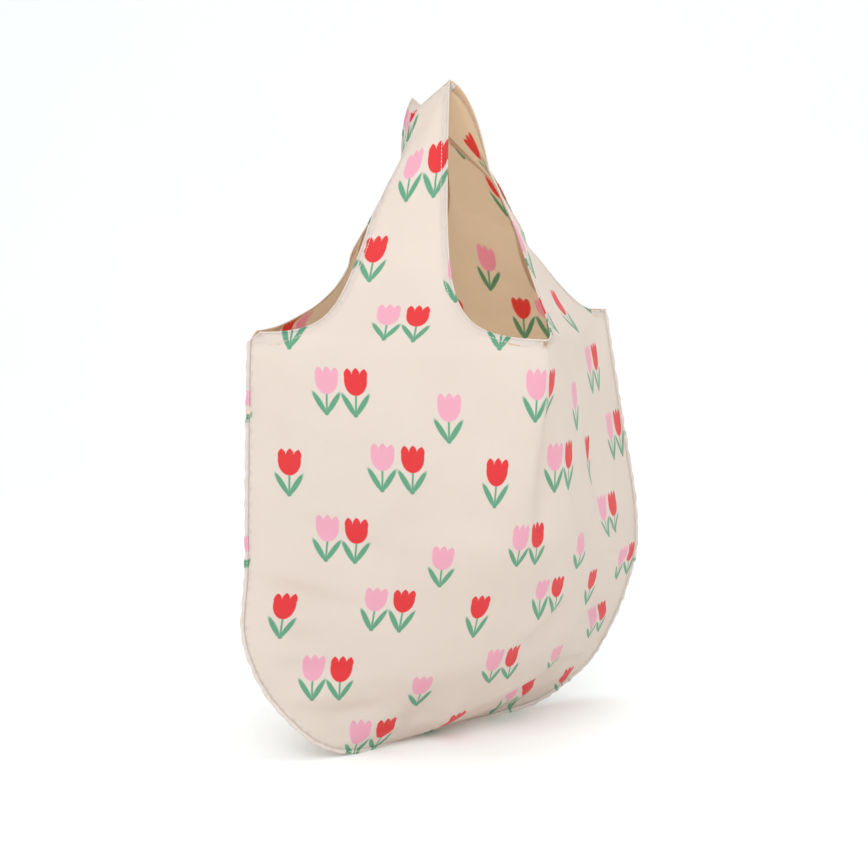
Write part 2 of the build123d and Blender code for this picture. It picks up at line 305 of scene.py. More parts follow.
def strap_start(cut, side):
    """The two straps of a panel before draping: each follows a curve to the join and twists on the way."""
    neck, scoop = bezier(NECK_CURVE, np.linspace(0, 1, 400)), bezier(SCOOP_CURVE, np.linspace(0, 1, 400))
    middle = (np.interp(cut[:, 1], neck[:, 1], neck[:, 0]) + np.interp(cut[:, 1], scoop[:, 1], scoop[:, 0])) / 2
    t = np.clip((cut[:, 1] - BODY_HEIGHT) / STRAP_RISE, 0, 1)
    join, step = (FRONT_JOIN, FRONT_JOIN_STEP) if side == FRONT else (BACK_JOIN, BACK_JOIN_STEP)
    top_across = unit(step)
    corner = FRONT_CORNER if side == FRONT else BACK_CORNER
    points = np.zeros((len(cut), 3))
    for hand in (-1, 1):
        shape = STRAPS[side, hand]
        neck_corner = np.array((*corner, RING_HEIGHT))
        seam_corner = np.array((RING_HALF * hand, 0, RING_HEIGHT))
        base_across = unit(seam_corner - neck_corner)
        foot, head = (neck_corner + seam_corner) / 2, join + step / 2
        leave = foot + np.array(shape["leave"])
        arrive = head - np.array(shape["arrive"])
        mine = np.where(cut[:, 0] >= 0, 1, -1) == hand
        centre = bezier((foot, leave, arrive, head), t[mine])
        twist = np.interp(t[mine], *zip(*shape["turn"]))
        angle = (twist * math.acos(base_across @ top_across))[:, None]
        axis = unit(np.cross(base_across, top_across))
        across = base_across * np.cos(angle) + np.cross(axis, base_across) * np.sin(angle)
        slack = 1 - np.linalg.norm(seam_corner - neck_corner) / HALF_WIDTH
        reach = (np.abs(cut[mine, 0]) - middle[mine]) * (1 - slack * (1 - ease(t[mine] / 0.4)))
        points[mine] = centre + reach[:, None] * across
    return points


def bag_start(cut, side):
    points = body_start(cut, side)
    above = cut[:, 1] > BODY_HEIGHT
    points[above] = strap_start(cut, side)[above]
    return points


def new_object(name, points, faces, materials=(), smooth=True):
    mesh = bpy.data.meshes.new(name)
    mesh.from_pydata(np.asarray(points).tolist(), [], [tuple(int(i) for i in face) for face in faces])
    mesh.update()
    mesh.polygons.foreach_set("use_smooth", [smooth] * len(mesh.polygons))
    for material in materials:
        mesh.materials.append(material)
    thing = bpy.data.objects.new(name, mesh)
    bpy.context.scene.collection.objects.link(thing)
    return thing


def add_group(thing, name, indices, weights):
    group = thing.vertex_groups.new(name=name)
    for index, weight in zip(indices, weights):
        group.add([int(index)], float(weight), "REPLACE")


def drape(cut, triangles):
    """Both panels sewn along their seam, hung by the joins and the ring corners, filled with a little air.

    Returns the draped points of the front panel and of the back panel."""
    seam = on_seam(cut)
    count = len(cut)
    back_index = np.where(seam, np.arange(count), 0)
    back_index[~seam] = count + np.arange((~seam).sum())
    faces = [tuple(face) for face in triangles] + [tuple(back_index[face[::-1]]) for face in triangles]
    start = np.vstack((bag_start(cut, FRONT), bag_start(cut, BACK)[~seam]))
    start[:count][seam] = seam_place(seam_travel(cut[seam]))
    cut_both = np.vstack((cut, cut[~seam]))
    side = np.r_[np.full(count, FRONT), np.full((~seam).sum(), BACK)]
    flat_gap = np.where(np.r_[seam, np.zeros((~seam).sum(), bool)], 0, 0.0005 * side)
    flat = np.column_stack((cut_both[:, 0], flat_gap, cut_both[:, 1]))
    bag = new_object("bag_cloth_for_draping", start, faces)
    bag.shape_key_add(name="Basis")
    rest = bag.shape_key_add(name="flat")
    rest.data.foreach_set("co", flat.astype(np.float32).ravel())
    rest.value = 0
    held = cut_both[:, 1] > CUT_TOP - 1e-5
    front_left = (side == FRONT) & (cut_both[:, 0] < 0)
    held |= (cut_both[:, 1] > CUT_TOP - HELD_STRAP) & ~front_left
    for corner_u, corner_side in ((-HALF_WIDTH, FRONT), (HALF_WIDTH, FRONT), (0, FRONT), (0, BACK)):
        distance = np.hypot(cut_both[:, 0] - corner_u, cut_both[:, 1] - BODY_HEIGHT) + (side != corner_side)
        held[np.argmin(distance)] = True
    held[:count] |= seam
    held = np.where(held)[0]
    add_group(bag, "held", held, np.ones(len(held)))
    air = np.clip((BODY_HEIGHT - cut_both[:, 1]) / 0.05, 0, 1) * (0.25 + 0.75 * ease((cut_both[:, 0] - 0.01) / 0.08))
    add_group(bag, "air", np.where(air > 0)[0], air[air > 0])
    cloth = bag.modifiers.new("cloth", "CLOTH")
    settings = cloth.settings
    settings.rest_shape_key = rest
    settings.vertex_group_mass = "held"
    settings.quality = 6
    settings.mass = 0.05
    settings.air_damping = 2.0
    settings.tension_stiffness = settings.compression_stiffness = 40
    settings.shear_stiffness = 20
    settings.tension_damping = settings.compression_damping = settings.shear_damping = 10
    settings.bending_stiffness = 0.3
    settings.bending_damping = 1.0
    settings.use_pressure = True
    settings.uniform_pressure_force = AIR_PRESSURE
    settings.vertex_group_pressure = "air"
    cloth.collision_settings.use_collision = False
    cloth.collision_settings.use_self_collision = False
    cloth.point_cache.frame_end = DRAPE_FRAMES
    scene = bpy.context.scene
    scene.frame_start, scene.frame_end = 1, DRAPE_FRAMES
    for number in range(1, DRAPE_FRAMES + 1):
        scene.frame_set(number)
    settled = bag.evaluated_get(bpy.context.evaluated_depsgraph_get())
    points = np.empty(3 * len(start))
    settled.data.vertices.foreach_get("co", points)
    points = points.reshape(-1, 3)
    bpy.data.objects.remove(bag)
    scene.frame_set(1)
    return points[:count], points[back_index]


def crease(cut, start, end, width, depth):
    """Outward height of a soft fold along a line on the cut; it fades at both ends."""
    start, along = np.array(start), np.array(end) - np.array(start)
    t = np.clip((cut - start) @ along / (along @ along), 0, 1)
    distance = np.linalg.norm(cut - start - t[:, None] * along, axis=1)
    return depth * np.exp(-(distance / width) ** 2) * np.sin(math.pi * (0.12 + 0.76 * t))


def vertex_normals(points, triangles):
    a, b, c = (points[triangles[:, k]] for k in range(3))
    face = np.cross(b - a, c - a)
    normals = np.zeros_like(points)
    for k in range(3):
        np.add.at(normals, triangles[:, k], face)
    return units(normals)


class Panel:
    """One draped panel: flat cut, points in space and outward normals."""

    def __init__(self, side, cut, triangles, points):
        self.side = side
        self.cut = cut
        self.triangles = triangles
        self.points = points
        self.normals = self.outward()
        height = 1.5 * sum(crease(cut, *fold) for fold in CREASES[side])
        edge = np.clip((BODY_HEIGHT - 0.02 - cut[:, 1]) / 0.04, 0, 1) * np.clip(depth_inside(cut, cut_outline()) / 0.03, 0, 1)
        self.points = points + self.normals * (height * edge)[:, None]
        self.normals = self.outward()

    def outward(self):
        return vertex_normals(self.points, self.triangles) * (1 if self.side == FRONT else -1)

    def find(self, cut_points):
        """Triangle and barycentric weights of each flat point; points just outside take the nearest triangle."""
        a, b, c = (self.cut[self.triangles[:, k]] for k in range(3))
        ab, ac = b - a, c - a
        area = ab[:, 0] * ac[:, 1] - ab[:, 1] * ac[:, 0]
        chosen, weights = [], []
        for start in range(0, len(cut_points), 500):
            ap = cut_points[start:start + 500, None] - a[None]
            second = (ap[..., 0] * ac[:, 1] - ap[..., 1] * ac[:, 0]) / area
            third = (ab[:, 0] * ap[..., 1] - ab[:, 1] * ap[..., 0]) / area
            three = np.stack((1 - second - third, second, third), axis=-1)
            best = three.min(-1).argmax(1)
            inside = np.clip(three[np.arange(len(best)), best], 0, 1)
            chosen.append(best)
            weights.append(inside / inside.sum(1, keepdims=True))
        return self.triangles[np.concatenate(chosen)], np.concatenate(weights)[..., None]

    def surface(self, cut_points):
        """Points and outward normals on the draped cloth at flat points."""
        corners, weights = self.find(np.asarray(cut_points, float))
        return (self.points[corners] * weights).sum(1), units((self.normals[corners] * weights).sum(1))

    def print_place(self, cut_points):
        """Where flat points fall on the printed roll the panel was cut from."""
        if self.side == FRONT:
            return cut_points
        return cut_points * np.array((-1, 1)) + np.array((0.05, 0.03))


def inward(path):
    """Unit direction to the left of a flat path, which is into the cloth."""
    along = units(np.gradient(path, axis=0))
    return np.column_stack((-along[:, 1], along[:, 0]))


def set_print_place(thing, places):
    places = np.column_stack((places, np.zeros(len(places))))
    attribute = thing.data.attributes.new("print_place", "FLOAT_VECTOR", "POINT")
    attribute.data.foreach_set("vector", places.astype(np.float32).ravel())


def loop_faces(count, ring, closed_ends=True):
    """Faces of a tube of count rings, each of ring points."""
    faces = []
    for i in range(count - 1):
        for k in range(ring):
            n = (k + 1) % ring
            faces.append((i * ring + k, i * ring + n, (i + 1) * ring + n, (i + 1) * ring + k))
    if closed_ends:
        faces.append(tuple(range(ring))[::-1])
        faces.append(tuple((count - 1) * ring + k for k in range(ring)))
    return faces


def hem_band(name, panel, path):
    """The turned edge of a panel: two more layers on the inside and a rolled outer edge; the inner layers are coloured
    darker with painted shade.
    """
    path = resample(path, 0.004)
    into = inward(path)
    edge, edge_normal = panel.surface(path)
    inner, _ = panel.surface(path + into * 0.004)
    toward = units(inner - edge)
    section = (
        (HEM, -0.0002), (HEM, -0.0008), (HEM * 0.5, -0.0010), (0.0010, -0.0010),
        (-0.0002, -0.0006), (-0.0004, 0.0000), (0.0002, 0.0005), (0.0011, 0.0004), (0.0011, -0.0002),
    )
    rows, places = [], []
    for distance, lift in section:
        flat = path + into * max(distance, 0)
        if distance > 0.0015:
            points, normals = panel.surface(flat)
        else:
            points, normals = edge + toward * distance, edge_normal
        rows.append(points + normals * lift)
        places.append(panel.print_place(flat))
    ring = len(section)
    points = np.stack(rows, axis=1).reshape(-1, 3)
    # The inner bands of the hem take the cloth darkened with painted shade; the outer bands take the printed outside.
    thing = new_object(name, points, loop_faces(len(path), ring), [SHADED_TURNED_CLOTH, OUTSIDE])
    bands = [1 if 3 < face.index % ring < ring - 1 else 0 for face in thing.data.polygons]
    thing.data.polygons.foreach_set("material_index", bands)
    set_print_place(thing, np.stack(places, axis=1).reshape(-1, 2))
    return thing


def stitch_mesh(name, starts, ends, normals, material, radius=0.00028):
    """One object of many short thread stitches, each a small rounded rod that dips at both ends."""
    sides = 6
    along = ends - starts
    across = units(np.cross(along, normals))
    stations = ((0.0, 0.35, -0.6), (0.18, 1.0, 0.0), (0.82, 1.0, 0.0), (1.0, 0.35, -0.6))
    rings = []
    for t, size, dip in stations:
        centre = starts + along * t + normals * radius * dip
        for k in range(sides):
            angle = 2 * math.pi * k / sides
            rings.append(centre + (across * math.cos(angle) + normals * math.sin(angle)) * radius * size)
    points = np.stack(rings, axis=1).reshape(-1, 3)
    one = loop_faces(len(stations), sides)
    per = len(stations) * sides
    faces = [tuple(i + per * n for i in face) for n in range(len(starts)) for face in one]
    return new_object(name, points, faces, [material])


def topstitch_ends(panel, path, distance, lift, pitch=0.0030, length=0.0023):
    """Start, end and normal of each stitch of a row at a distance inside a flat path."""
    row = path + inward(path) * distance
    row = resample(row, pitch)
    along = units(np.gradient(row, axis=0))
    centre = row[1:-1]
    half = along[1:-1] * length / 2
    starts, normals = panel.surface(centre - half)
    ends, _ = panel.surface(centre + half)
    return starts + normals * lift, ends + normals * lift, normals


# ---- materials ----

class Value:
    """A number in a node tree; arithmetic on it adds Math nodes."""

    def __init__(self, tree, socket):
        self.tree = tree
        self.socket = socket

    def run(self, operation, *others):
        node = self.tree.nodes.new("ShaderNodeMath")
        node.operation = operation
        for slot, value in enumerate((self, *others)):
            if isinstance(value, Value):
                self.tree.links.new(value.socket, node.inputs[slot])
            else:
                node.inputs[slot].default_value = value
        return Value(self.tree, node.outputs[0])

    def __add__(self, other):
        return self.run("ADD", other)

    def __sub__(self, other):
        return self.run("SUBTRACT", other)

    def __mul__(self, other):
        return self.run("MULTIPLY", other)

    def __truediv__(self, other):
        return self.run("DIVIDE", other)

    def abs(self):
        return self.run("ABSOLUTE")

    def min(self, other):
        return self.run("MINIMUM", other)

    def max(self, other):
        return self.run("MAXIMUM", other)

    def length(self, other):
        return (self * self + other * other).run("SQRT")


def rgb(red, green, blue):
    """A colour given as display values from 0 to 255."""
    linear = []
    for value in (red, green, blue):
        value /= 255
        linear.append(value / 12.92 if value <= 0.04045 else ((value + 0.055) / 1.055) ** 2.4)
    return (*linear, 1.0)


def turned(x, y, centre_x, centre_y, degrees):
    """x and y measured from a centre along axes turned by degrees."""
    c, s = math.cos(math.radians(degrees)), math.sin(math.radians(degrees))
    dx, dy = x - centre_x, y - centre_y
    return dx * c + dy * s, dy * c - dx * s


def oval(x, y, half_width, half_height):
    """Rough signed distance to an ellipse, negative inside."""
    return ((x / half_width).length(y / half_height) - 1.0) * min(half_width, half_height)


def leaf_shape(x, y, half_width, half_height):
    """Signed distance to a lens with rounded tips, negative inside."""
    tip = 0.09
    w, h = half_width - tip, half_height - tip
    radius = (w * w + h * h) / (2 * w)
    return (x.abs() + (radius - w)).length(y) - radius - tip


def soft_mask(distance, edge=0.035):
    """1 inside a shape and 0 outside, with a soft printed edge."""
    return (distance * (-0.5 / edge) + 0.5).max(0.0).min(1.0)


def tulip_group():
    """A node group that draws one tulip, in centimetres round its middle."""
    tree = bpy.data.node_groups.new("tulip", "ShaderNodeTree")
    for name in ("Across", "Up"):
        tree.interface.new_socket(name, in_out="INPUT", socket_type="NodeSocketFloat")
    for name in ("Flower", "Green"):
        tree.interface.new_socket(name, in_out="OUTPUT", socket_type="NodeSocketFloat")
    entry = tree.nodes.new("NodeGroupInput")
    result = tree.nodes.new("NodeGroupOutput")
    x, y = Value(tree, entry.outputs["Across"]), Value(tree, entry.outputs["Up"])
    cup = oval(x, y - 1.20, 0.97, 1.45).max(y - 1.70)
    sides = (x.abs() - 0.965).max(y - 1.74).max(y * -1.0 + 1.20)
    flower = cup.min(sides)
    for centre, top, lean in ((-0.64, 1.66, 4), (0.03, 1.70, 0), (0.66, 1.62, -9)):
        petal_x, petal_y = turned(x, y, centre, top, lean)
        flower = flower.min(leaf_shape(petal_x, petal_y, 0.34, 0.62))
    left_x, left_y = turned(x, y, -0.62, -1.08, 29)
    right_x, right_y = turned(x, y, 0.56, -1.10, -28)
    leaves = oval(left_x, left_y, 0.235, 1.20).min(oval(right_x, right_y, 0.235, 1.16))
    leaves = leaves.min(oval(x, y + 2.06, 0.20, 0.19))
    stem = (x.abs() - 0.085).max((y + 1.15).abs() - 1.0)
    tree.links.new(soft_mask(flower).socket, result.inputs["Flower"])
    tree.links.new(soft_mask(leaves.min(stem)).socket, result.inputs["Green"])
    return tree


# The print repeats every 17.6 by 14.0 cm: colour and middle of each tulip in one repeat, in centimetres.
PRINT_REPEAT = (17.6, 14.0)
PRINT = (
    ("pink", -18.45, 9.3), ("red", -16.0, 9.2), ("pink", -8.3, 7.1),
    ("pink", -13.85, 2.3), ("red", -11.35, 2.2), ("red", -4.0, 1.4),
)
TULIP = tulip_group()


def mix_colour(tree, factor, first, second):
    node = tree.nodes.new("ShaderNodeMix")
    node.data_type = "RGBA"
    for slot, value in ((0, factor), (6, first), (7, second)):
        if isinstance(value, Value):
            value = value.socket
        if isinstance(value, bpy.types.NodeSocket):
            tree.links.new(value, node.inputs[slot])
        else:
            node.inputs[slot].default_value = value
    return node.outputs[2]


def noise(tree, vector, scale, detail=3.0, stretch=(1, 1, 1)):
    mapping = tree.nodes.new("ShaderNodeMapping")
    mapping.inputs["Scale"].default_value = stretch
    tree.links.new(vector, mapping.inputs["Vector"])
    node = tree.nodes.new("ShaderNodeTexNoise")
    node.inputs["Scale"].default_value = scale
    node.inputs["Detail"].default_value = detail
    tree.links.new(mapping.outputs["Vector"], node.inputs["Vector"])
    return Value(tree, node.outputs["Fac"])


def weave(tree, across, up, pitch):
    """Height of a plain weave with threads pitch centimetres apart."""
    warp = (across * (2 * math.pi / pitch)).run("SINE")
    weft = (up * (2 * math.pi / pitch)).run("SINE")
    return warp * weft


def packing_marks(across, up):
    """Faint ridges where the bag has been folded flat for packing."""
    marks = None
    for line, places in ((across, (-15.0, 0.5, 15.5)), (up, (13.5, 27.0))):
        for place in places:
            ridge = ((line - place).abs() * (-1 / 0.45) + 1.0).max(0.0)
            marks = ridge if marks is None else marks.max(ridge)
    return marks * 0.16


def new_material(name):
    material = bpy.data.materials.new(name)
    material.use_nodes = True
    tree = material.node_tree
    shader = tree.nodes["Principled BSDF"]
    return material, tree, shader


def add_bump(tree, shader, height, strength, distance):
    node = tree.nodes.new("ShaderNodeBump")
    node.inputs["Strength"].default_value = strength
    node.inputs["Distance"].default_value = distance
    tree.links.new(height.socket, node.inputs["Height"])
    tree.links.new(node.outputs["Normal"], shader.inputs["Normal"])
    return node


def thin_cloth(tree, shader, colour, passing):
    """Lets part of the light through the cloth."""
    through = tree.nodes.new("ShaderNodeBsdfTranslucent")
    tree.links.new(colour, through.inputs["Color"])
    mix = tree.nodes.new("ShaderNodeMixShader")
    mix.inputs[0].default_value = passing
    tree.links.new(shader.outputs[0], mix.inputs[1])
    tree.links.new(through.outputs[0], mix.inputs[2])
    tree.links.new(mix.outputs[0], tree.nodes["Material Output"].inputs["Surface"])


def printed_cloth(name, ground, shade, ink, passing=0.34):
    """Thin woven polyester with the tulip print; ink is how strongly the print shows on this face."""
    material, tree, shader = new_material(name)
    place = tree.nodes.new("ShaderNodeAttribute")
    place.attribute_name = "print_place"
    split = tree.nodes.new("ShaderNodeSeparateXYZ")
    tree.links.new(place.outputs["Vector"], split.inputs[0])
    across = Value(tree, split.outputs[0]) * 100.0
    up = Value(tree, split.outputs[1]) * 100.0
    masks = {}
    for colour, u, v in PRINT:
        node = tree.nodes.new("ShaderNodeGroup")
        node.node_tree = TULIP
        half_u, half_v = PRINT_REPEAT[0] / 2, PRINT_REPEAT[1] / 2
        tree.links.new((across - u).run("WRAP", half_u, -half_u).socket, node.inputs["Across"])
        tree.links.new((up - v).run("WRAP", half_v, -half_v).socket, node.inputs["Up"])
        for kind, output in ((colour, "Flower"), ("green", "Green")):
            mask = Value(tree, node.outputs[output])
            masks[kind] = masks[kind].max(mask) if kind in masks else mask
    cloudy = noise(tree, place.outputs["Vector"], 14.0)
    colour = mix_colour(tree, cloudy, ground, shade)
    inks = {"green": rgb(108, 178, 144), "pink": rgb(250, 184, 208), "red": rgb(240, 60, 64)}
    for kind in ("green", "pink", "red"):
        colour = mix_colour(tree, masks[kind] * ink, colour, inks[kind])
    tree.links.new(colour, shader.inputs["Base Color"])
    rough = noise(tree, place.outputs["Vector"], 40.0) * 0.16 + 0.42
    tree.links.new(rough.socket, shader.inputs["Roughness"])
    shader.inputs["Specular IOR Level"].default_value = 0.35
    shader.inputs["Sheen Weight"].default_value = 0.25
    shader.inputs["Sheen Roughness"].default_value = 0.4
    threads = weave(tree, across, up, 0.09) * 0.10
    crinkle = noise(tree, place.outputs["Vector"], 22.0, 4.0, (1.0, 0.55, 1.0))
    drag = noise(tree, place.outputs["Vector"], 7.0, 2.0, (1.6, 0.7, 1.0))
    add_bump(tree, shader, crinkle + threads + drag * 1.6 + packing_marks(across, up), 0.4, 0.0040)
    thin_cloth(tree, shader, colour, passing)
    return material


def thread_material():
    material, tree, shader = new_material("sewing_thread")
    place = tree.nodes.new("ShaderNodeTexCoord")
    fuzz = noise(tree, place.outputs["Object"], 900.0)
    colour = mix_colour(tree, fuzz, rgb(244, 226, 214), rgb(226, 204, 188))
    tree.links.new(colour, shader.inputs["Base Color"])
    shader.inputs["Roughness"].default_value = 0.6
    shader.inputs["Sheen Weight"].default_value = 0.3
    add_bump(tree, shader, noise(tree, place.outputs["Object"], 2600.0, 2.0, (1, 1, 4)), 0.4, 0.0002)
    return material


def tape_material():
    """Cream woven tape with ribs across it."""
    material, tree, shader = new_material("woven_tape")
    place = tree.nodes.new("ShaderNodeTexCoord")
    split = tree.nodes.new("ShaderNodeSeparateXYZ")
    tree.links.new(place.outputs["Object"], split.inputs[0])
    ribs = (Value(tree, split.outputs[0]) * (2 * math.pi / 0.0011)).run("SINE")
    cords = (Value(tree, split.outputs[2]) * (2 * math.pi / 0.0016)).run("SINE")
    fleck = noise(tree, place.outputs["Object"], 600.0)
    colour = mix_colour(tree, fleck, rgb(236, 218, 200), rgb(208, 184, 162))
    tree.links.new(colour, shader.inputs["Base Color"])
    shader.inputs["Roughness"].default_value = 0.75
    shader.inputs["Sheen Weight"].default_value = 0.2
    add_bump(tree, shader, ribs * 0.5 + cords * 0.4 + fleck * 0.4, 0.6, 0.0003)
    return material


def snap_material():
    """Moulded cream plastic, slightly mottled and fine-scratched."""
    material, tree, shader = new_material("snap_plastic_moulded")
    place = tree.nodes.new("ShaderNodeTexCoord")
    mottle = noise(tree, place.outputs["Object"], 220.0)
    scratch = noise(tree, place.outputs["Object"], 700.0, 2.0, (1, 1, 0.12))
    colour = mix_colour(tree, mottle, rgb(240, 224, 206), rgb(226, 206, 186))
    tree.links.new(colour, shader.inputs["Base Color"])
    tree.links.new((scratch * 0.25 + 0.22).socket, shader.inputs["Roughness"])
    shader.inputs["Coat Weight"].default_value = 0.2
    add_bump(tree, shader, scratch + mottle, 0.15, 0.0002)
    return material


OUTSIDE = printed_cloth("printed_cloth_outside", rgb(243, 234, 226), rgb(235, 225, 217), 1.0)
INSIDE = printed_cloth("printed_cloth_inside", rgb(250, 238, 216), rgb(245, 229, 203), 0.46, 0.90)
# The folded hem and the cut edges: the inside face of the cloth made a darker tan-brown, which is painted shade; the
# faded print on it is real.
SHADED_TURNED_CLOTH = printed_cloth("turned_hem_cloth_painted_shade", rgb(242, 214, 180), rgb(236, 204, 168), 0.35, 0.35)
THREAD = thread_material()
TAPE = tape_material()
SNAP = snap_material()


def cloth_object(name, points, faces, places, flip=False):
    """A cloth sheet with a printed outside, a paler inside and real thickness."""
    faces = [tuple(face[::-1]) if flip else tuple(face) for face in faces]
    thing = new_object(name, points, faces, [OUTSIDE, INSIDE, SHADED_TURNED_CLOTH])
    set_print_place(thing, places)
    smooth = thing.modifiers.new("smooth", "SUBSURF")
    smooth.levels = smooth.render_levels = 1
    thick = thing.modifiers.new("thickness", "SOLIDIFY")
    thick.thickness = CLOTH
    thick.offset = -1
    thick.material_offset = 1
    # The cut edges take the cloth darkened with painted shade.
    thick.material_offset_rim = 2
    return thing


def bend_with_handle(thing):
    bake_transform(thing)


def free_edges():
    """The three hemmed edges of a cut, each a flat path with the cloth on its left."""
    neck = np.vstack((neck_half()[::-1], mirrored(neck_half()[::-1])[1:]))
    return {"neck": neck, "right_scoop": scoop_half(), "left_scoop": mirrored(scoop_half())}


def build_panels():
    cut, triangles = cut_mesh()
    panels = {}
    for side, points in zip((FRONT, BACK), drape(cut, triangles)):
        panels[side] = Panel(side, cut, triangles, points)
    for side, word in ((FRONT, "front"), (BACK, "back")):
        panel = panels[side]
        cloth = cloth_object(
            word + "_cloth", panel.points, triangles, panel.print_place(cut), flip=side == BACK
        )
        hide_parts(word + "_panel", word + "_left_strap", word + "_right_strap")
        bend_with_handle(cloth)
        rows = []
        for edge, path in free_edges().items():
            hem = hem_band(f"{word}_{edge}_hem", panel, path)
            bend_with_handle(hem)
            rows.append(topstitch_ends(panel, path, HEM - 0.0013, 0.0002))
            starts, ends, normals = topstitch_ends(panel, path, HEM - 0.0013, -0.0012)
            rows.append((starts, ends, -normals))
        starts, ends, normals = (np.vstack(parts) for parts in zip(*rows))
        thread = stitch_mesh(word + "_topstitch", starts, ends, normals, THREAD)
        bend_with_handle(thread)
    return panels


def seam_path():
    right = seam_half()
    return np.vstack((mirrored(right), right[1:]))


def build_seam(panels):
    """The closed seam down both sides and round the base: a narrow flange with small puckers."""
    path = resample(seam_path(), 0.003)
    into = inward(path)
    edge, front_normal = panels[FRONT].surface(path)
    _, back_normal = panels[BACK].surface(path)
    front_in, _ = panels[FRONT].surface(path + into * 0.006)
    back_in, _ = panels[BACK].surface(path + into * 0.006)
    out = units(-units(front_in - edge) - units(back_in - edge) + 0.35 * (front_normal + back_normal))
    along = units(np.gradient(edge, axis=0))
    sideways = units(np.cross(along, out))
    station = np.arange(len(path)) * 0.003
    wave = 0.00035 * np.sin(station * 2 * math.pi / 0.011) + 0.0003 * np.sin(station * 2 * math.pi / 0.027 + 1)
    section = ((-0.0010, 0.0007), (0.0016, 0.0006), (0.0028, 0.0004), (0.0028, -0.0004), (0.0016, -0.0006),
               (-0.0010, -0.0007))
    rows = []
    for distance, width in section:
        reach = distance * (1 + 0.15 * np.sin(station * 2 * math.pi / 0.019))
        rows.append(edge + out * reach[:, None] + sideways * (width + wave * (distance > 0))[:, None])
    points = np.stack(rows, axis=1).reshape(-1, 3)
    ring = len(section)
    seam = new_object("side_and_base_seam_cloth", points, loop_faces(len(path), ring), [OUTSIDE])
    places = np.repeat(panels[FRONT].print_place(path), ring, axis=0)
    set_print_place(seam, places)
    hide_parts("side_and_base_seam")
    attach(seam, "bag")
    centre = resample(edge + out * 0.0008, 0.0030)[1:-1]
    flat_along = units(np.gradient(centre, axis=0)) * 0.0011
    nearest = np.abs(((centre[:, None] - edge[None]) ** 2).sum(-1)).argmin(1)
    rows = []
    for sign in (-1, 1):
        normal = sideways[nearest] * sign
        rows.append((centre - flat_along + normal * 0.0007, centre + flat_along + normal * 0.0007, normal))
    starts, ends, normals = (np.vstack(parts) for parts in zip(*rows))
    thread = stitch_mesh("seam_stitching", starts, ends, normals, THREAD)
    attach(thread, "bag")


def build_joins():
    """The seam allowance inside the top of each loop, with its row of thread."""
    for side, word, join, step in ((FRONT, "front", FRONT_JOIN, FRONT_JOIN_STEP), (BACK, "back", BACK_JOIN, BACK_JOIN_STEP)):
        across = unit(step)
        down = -sum(unit(STRAPS[side, hand]["arrive"]) for hand in (-1, 1))
        down = unit(down - across * (down @ across))
        face = np.cross(across, down)
        length = np.linalg.norm(step)
        columns, rows = 16, 5
        points = []
        for layer in (-1, 1):
            for i in range(columns + 1):
                for j in range(rows + 1):
                    s, t = i / columns, j / rows
                    wave = 0.0006 * math.sin(9 * s + 1.5 * t) * t
                    points.append(join + across * length * s + down * 0.008 * t + face * (wave + 0.0003 * layer))
        wide = rows + 1
        sheet = (columns + 1) * wide
        faces = []
        for i in range(columns):
            for j in range(rows):
                quad = (i * wide + j, i * wide + j + 1, (i + 1) * wide + j + 1, (i + 1) * wide + j)
                faces.append(quad)
                faces.append(tuple(k + sheet for k in quad[::-1]))
        rim = [i * wide for i in range(columns + 1)] + [columns * wide + j for j in range(1, wide)]
        rim += [i * wide + rows for i in range(columns - 1, -1, -1)] + [j for j in range(rows - 1, 0, -1)]
        for k, here in enumerate(rim):
            there = rim[(k + 1) % len(rim)]
            faces.append((here, there, there + sheet, here + sheet))
        patch = new_object(word + "_join_allowance", points, faces, [OUTSIDE])
        set_print_place(patch, np.array([(p[0] - join[0], 0.05 + p[2] - join[2]) for p in points]))
        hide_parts(word + "_handle_join")
        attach(patch, HANDLE_BODY[side])
        line = np.array([join + across * length * s + down * 0.002 for s in np.linspace(0.04, 0.96, 15)])
        starts, ends, normals = [], [], []
        for sign in (-1, 1):
            starts.append(line - across * 0.0011 + face * sign * 0.0004)
            ends.append(line + across * 0.0011 + face * sign * 0.0004)
            normals.append(np.repeat((face * sign)[None], len(line), axis=0))
        thread = stitch_mesh(word + "_join_stitching", np.vstack(starts), np.vstack(ends), np.vstack(normals), THREAD)
        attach(thread, HANDLE_BODY[side])


def pocket_outline_half_width(height, half, corner):
    """Half width of a pocket at a height above its bottom, whose lower corners are round."""
    lift = np.clip(height, 0, corner)
    return half - corner + np.sqrt(corner ** 2 - (corner - lift) ** 2)


def pocket_cloth(name, rows, half, corner, centre_x, low, ripple):
    """A cloth sheet across a pocket. rows are (y, z, height above the bottom) from the top down."""
    columns = 28
    points, places = [], []
    for y, z, height in rows:
        wide = float(pocket_outline_half_width(height, half, corner))
        for i in range(columns + 1):
            across = 2 * i / columns - 1
            wave = ripple * math.sin(7 * across + 60 * z) * (1 - across * across)
            points.append((centre_x + wide * across, y + wave, z))
            places.append((wide * across + 0.03, z - low + 0.02))
    faces = []
    for row in range(len(rows) - 1):
        for i in range(columns):
            here = row * (columns + 1) + i
            faces.append((here, here + columns + 1, here + columns + 2, here + 1))
    return cloth_object(name, points, faces, np.array(places))


def tube(name, path, radius, material, sides=8):
    """A cord along a path that lies in a plane of constant y."""
    along = units(np.gradient(path, axis=0))
    across = np.column_stack((-along[:, 2], np.zeros(len(path)), along[:, 0]))
    depth = np.array((0.0, 1.0, 0.0))
    rings = []
    for k in range(sides):
        angle = 2 * math.pi * k / sides
        rings.append(path + (across * math.cos(angle) + depth * math.sin(angle)) * radius)
    return new_object(name, np.stack(rings, axis=1).reshape(-1, 3), loop_faces(len(path), sides), [material])


